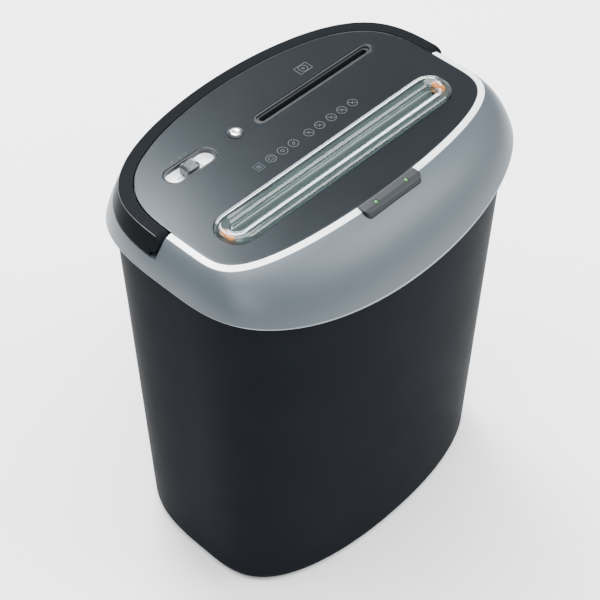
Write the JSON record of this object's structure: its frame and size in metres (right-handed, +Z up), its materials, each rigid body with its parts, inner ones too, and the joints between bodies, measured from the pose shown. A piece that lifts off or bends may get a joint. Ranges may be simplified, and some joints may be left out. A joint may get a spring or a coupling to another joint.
{
  "type": "paper shredder",
  "caption": "Deskside paper and disc shredder: a lift-off head with a clear-guarded paper slot, disc slot, switch, button and folding carry handle, over a tapered waste bin.",
  "frame": {"origin": "on the floor, under the middle of the plan", "axes": "+Z up, +X along the paper slot to the right as seen from the front, the front faces -Y"},
  "size_m": [0.341, 0.254, 0.3968],
  "materials": {
    "bin_plastic": "fine moulded texture",
    "silver_paint": "satin metallic paint",
    "bright_trim": "bright satin plating",
    "graphite_panel": "satin metallic",
    "handle_plastic": "satin",
    "clear_plastic": "clear polished",
    "throat_plastic": "polished",
    "amber_lens": "lit lens",
    "green_lens": "lit lens",
    "white_plastic": "satin",
    "silver_plastic": "satin metallic",
    "zinc_steel": "zinc plated",
    "cutter_steel": "oiled hardened",
    "nylon": "natural",
    "bearing_bronze": "sintered",
    "board": "solder mask",
    "black_plastic": "moulded",
    "film_capacitor": "dipped",
    "foot_rubber": "matte"
  },
  "bodies": {
    "bin": {"waste_bin": "bin_plastic", "foot_front_left": "foot_rubber", "foot_front_right": "foot_rubber", "foot_rear_left": "foot_rubber", "foot_rear_right": "foot_rubber"},
    "head": {"collar": "silver_paint", "rim_trim_left": "bright_trim", "rim_trim_right": "bright_trim", "top_panel": "graphite_panel", "indicator_pod": "graphite_panel", "led_left": "green_lens", "led_right": "green_lens", "feed_window": "clear_plastic", "feed_throat": "throat_plastic", "feed_lamp_left": "amber_lens", "feed_lamp_right": "amber_lens", "disc_throat": "throat_plastic", "switch_well": "white_plastic", "button_bezel": "bright_trim", "circuit_board": "board", "slide_switch": "zinc_steel", "tact_switch": "black_plastic", "capacitor": "film_capacitor", "bush_front_left": "bearing_bronze", "bush_front_right": "bearing_bronze", "bush_rear_left": "bearing_bronze", "bush_rear_right": "bearing_bronze", "motor": "zinc_steel", "side_plate_left": "zinc_steel", "side_plate_right": "zinc_steel", "disc_bracket": "zinc_steel", "tie_rod_1": "zinc_steel", "tie_rod_2": "zinc_steel", "comb_front": "nylon", "comb_rear": "nylon", "head_base": "black_plastic", "case_screw_1": "zinc_steel", "case_screw_2": "zinc_steel", "case_screw_3": "zinc_steel", "case_screw_4": "zinc_steel", "interlock_switch": "black_plastic", "cord_gland": "foot_rubber"},
    "handle": {"carry_handle": "handle_plastic", "handle_pin_left": "zinc_steel", "handle_pin_right": "zinc_steel"},
    "mode_switch": {"mode_knob": "silver_plastic"},
    "button": {"power_button": "bright_trim"},
    "front_cutter": {"cutter_shaft_front": "cutter_steel", "sync_gear_front": "zinc_steel"},
    "rear_cutter": {"cutter_shaft_rear": "cutter_steel", "sync_gear_rear": "zinc_steel", "drive_gear": "nylon"},
    "reduction": {"reduction_gear": "nylon"},
    "motor_shaft": {"motor_pinion": "zinc_steel"},
    "front_disc_cutter": {"disc_shaft_front": "cutter_steel", "disc_drive_gear": "zinc_steel", "disc_gear_front": "zinc_steel"},
    "rear_disc_cutter": {"disc_shaft_rear": "cutter_steel", "disc_gear_rear": "zinc_steel"},
    "plunger": {"interlock_plunger": "white_plastic"}
  },
  "joints": [
    {"name": "head_lift", "type": "slide", "parent": "bin", "child": "head", "axis": [0, 0, 1], "range_m": [0, 0.1]},
    {"name": "handle_pivot", "type": "hinge", "parent": "head", "child": "handle", "pos_m": [0, 0.007, 0.3855], "axis": [1, 0, 0], "range_deg": [0, 90]},
    {"name": "mode_slide", "type": "slide", "parent": "head", "child": "mode_switch", "axis": [1, 0, 0], "range_m": [-0.009, 0.009]},
    {"name": "button_press", "type": "slide", "parent": "head", "child": "button", "axis": [0, 0, -1], "range_m": [0, 0.0015], "stiffness_N_per_m": 400},
    {"name": "rear_cutter_spin", "type": "hinge", "parent": "head", "child": "rear_cutter", "pos_m": [0, -0.012, 0.322], "axis": [1, 0, 0], "continuous": true},
    {"name": "front_cutter_spin", "type": "hinge", "parent": "head", "child": "front_cutter", "pos_m": [0, -0.05, 0.322], "axis": [1, 0, 0], "continuous": true},
    {"name": "reduction_spin", "type": "hinge", "parent": "head", "child": "reduction", "pos_m": [0, 0.02626, 0.32956], "axis": [1, 0, 0], "continuous": true},
    {"name": "motor_spin", "type": "hinge", "parent": "head", "child": "motor_shaft", "pos_m": [0, 0.054, 0.322], "axis": [1, 0, 0], "continuous": true},
    {"name": "front_disc_spin", "type": "hinge", "parent": "head", "child": "front_disc_cutter", "pos_m": [0, 0.03272, 0.328], "axis": [1, 0, 0], "continuous": true},
    {"name": "rear_disc_spin", "type": "hinge", "parent": "head", "child": "rear_disc_cutter", "pos_m": [0, 0.05272, 0.328], "axis": [1, 0, 0], "continuous": true},
    {"name": "plunger_press", "type": "slide", "parent": "head", "child": "plunger", "axis": [0, 0, 1], "range_m": [0, 0.003], "stiffness_N_per_m": 150}
  ],
  "couplings": [
    {"joint": "front_cutter_spin", "follows": "rear_cutter_spin", "ratio": -1},
    {"joint": "reduction_spin", "follows": "rear_cutter_spin", "ratio": -3.3333},
    {"joint": "motor_spin", "follows": "rear_cutter_spin", "ratio": 12},
    {"joint": "front_disc_spin", "follows": "rear_cutter_spin", "ratio": -0.72727},
    {"joint": "rear_disc_spin", "follows": "rear_cutter_spin", "ratio": 0.72727}
  ]
}
